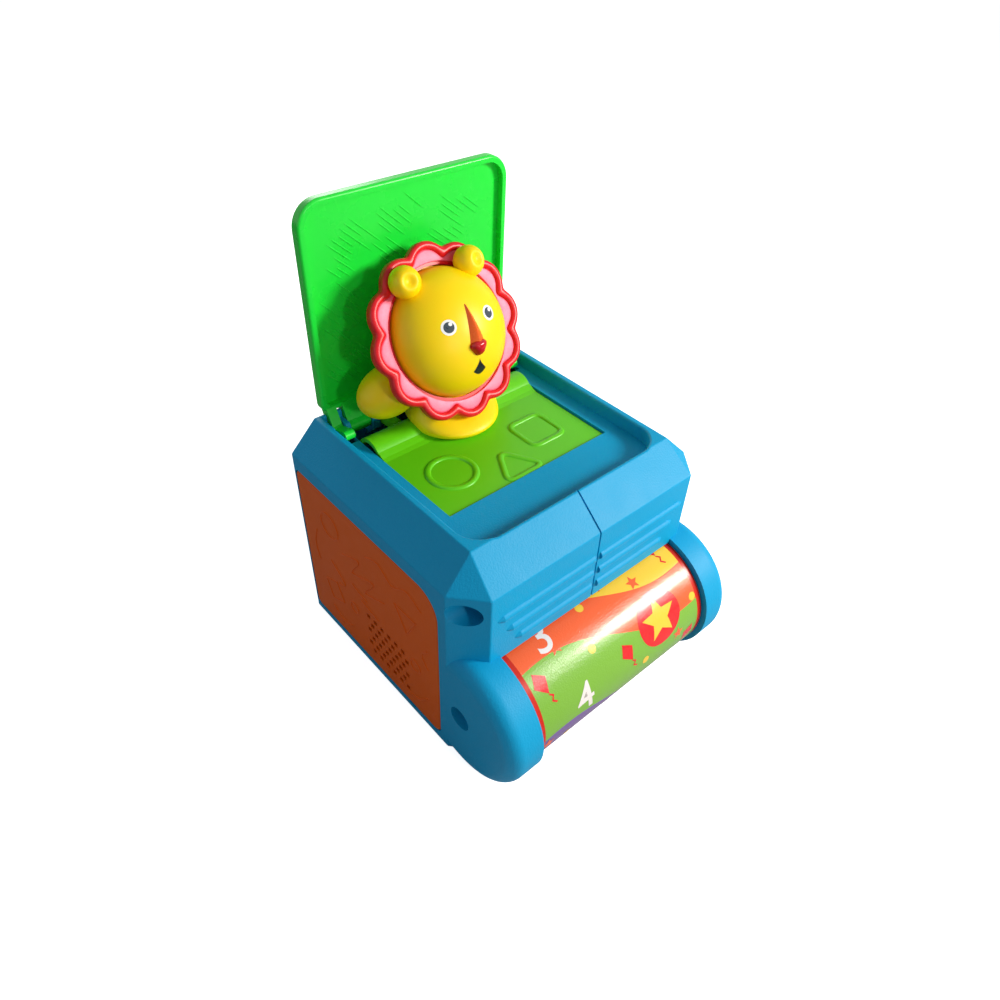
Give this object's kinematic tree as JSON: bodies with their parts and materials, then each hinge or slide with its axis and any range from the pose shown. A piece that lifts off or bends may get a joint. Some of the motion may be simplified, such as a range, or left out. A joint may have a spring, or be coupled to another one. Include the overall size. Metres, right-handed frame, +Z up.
{
  "type": "pop up animal toy",
  "caption": "Bevelled toy box whose hinged lid springs open to raise a lion's head on a trap flap; a printed roller in the front turns the gear and cam behind the catch.",
  "frame": {"origin": "on the floor, midway between the side walls and midway between the flat front and rear faces of the housing", "axes": "+Z up; +X to the object's right, along the roller and the hinge pin; the roller side faces -Y and the lid stands at +Y"},
  "size_m": [0.13, 0.1455, 0.1939],
  "materials": {
    "blue_shell": "fine moulded texture",
    "cell_sleeve": "plain shrink sleeve",
    "green_board": "solder mask",
    "green_flap": "smooth moulded",
    "green_lid": "smooth moulded",
    "orange_bridge": "smooth moulded",
    "orange_panel": "fine moulded texture with raised strokes",
    "paper_cone": "pressed paper",
    "pink_insert": "pearl",
    "printed_film": "glossy printed film",
    "red_mane": "smooth moulded",
    "red_nose": "smooth moulded",
    "red_ring": "smooth moulded",
    "steel": "plated wire and rod",
    "white_drum": "plain moulded",
    "white_nylon": "natural nylon",
    "yellow_lion": "smooth moulded"
  },
  "bodies": {
    "body": {"housing_left": "blue_shell", "housing_right": "blue_shell", "side_panel_left": "orange_panel", "side_panel_right": "orange_panel", "hinge_pin": "steel", "lid_spring": "steel", "figure_spring": "steel", "latch_pin": "steel", "roller_axle": "steel", "axle_caps": "red_ring", "cam_gear_shaft": "steel", "housing_screws": "steel", "battery_tray": "blue_shell", "battery_door": "blue_shell", "battery_door_screw": "steel", "battery_cells": "cell_sleeve", "battery_contacts": "steel", "circuit_board": "green_board", "speaker": "paper_cone", "speaker_magnet": "steel"},
    "lid_body": {"lid": "green_lid"},
    "figure": {"trap_flap": "green_flap", "mane": "red_mane", "mane_insert": "pink_insert", "face_shell": "yellow_lion", "nape_shell": "yellow_lion", "nose_bridge": "orange_bridge", "nose_tip": "red_nose", "ears": "yellow_lion", "torso": "yellow_lion", "arms": "yellow_lion"},
    "roller": {"roller_drum": "white_drum", "roller_sleeve": "printed_film", "roller_ring_left": "red_ring", "roller_ring_right": "red_ring", "roller_bushes": "white_nylon", "roller_pinion": "white_nylon"},
    "cam": {"cam_gear": "white_nylon"},
    "lever": {"latch_lever": "white_nylon"},
    "trip": {"trip_rod": "white_nylon"},
    "knob": {"power_knob": "orange_panel"}
  },
  "joints": [
    {"name": "figure_hinge", "type": "hinge", "parent": "body", "child": "figure", "pos_m": [0, 0.053, 0.0985], "axis": [1, 0, 0], "range_deg": [0, 87.3], "stiffness_Nm_per_rad": 0.02, "springref_deg": -74.48},
    {"name": "lid_hinge", "type": "hinge", "parent": "body", "child": "lid_body", "pos_m": [0, 0.053, 0.0985], "axis": [1, 0, 0], "range_deg": [0, 90], "stiffness_Nm_per_rad": 0.008, "springref_deg": -68.75},
    {"name": "roller_spin", "type": "hinge", "parent": "body", "child": "roller", "pos_m": [0, -0.0535, 0.0295], "axis": [1, 0, 0], "continuous": true},
    {"name": "cam_spin", "type": "hinge", "parent": "body", "child": "cam", "pos_m": [0.0552, -0.0325, 0.04163], "axis": [1, 0, 0], "continuous": true},
    {"name": "trip_slide", "type": "slide", "parent": "body", "child": "trip", "axis": [0, -1, 0], "range_m": [0, 0.0053]},
    {"name": "latch_rock", "type": "hinge", "parent": "body", "child": "lever", "pos_m": [0.0475, 0.045, 0.076], "axis": [1, 0, 0], "range_deg": [-20, 0]},
    {"name": "power_slide", "type": "slide", "parent": "body", "child": "knob", "axis": [1, 0, 0], "range_m": [-0.002, 0.002]}
  ],
  "couplings": [
    {"joint": "lid_hinge", "follows": "figure_hinge", "ratio": 1.0305},
    {"joint": "cam_spin", "follows": "roller_spin", "ratio": -0.5},
    {"joint": "latch_rock", "follows": "trip_slide", "rad_per_m": -65.8}
  ]
}
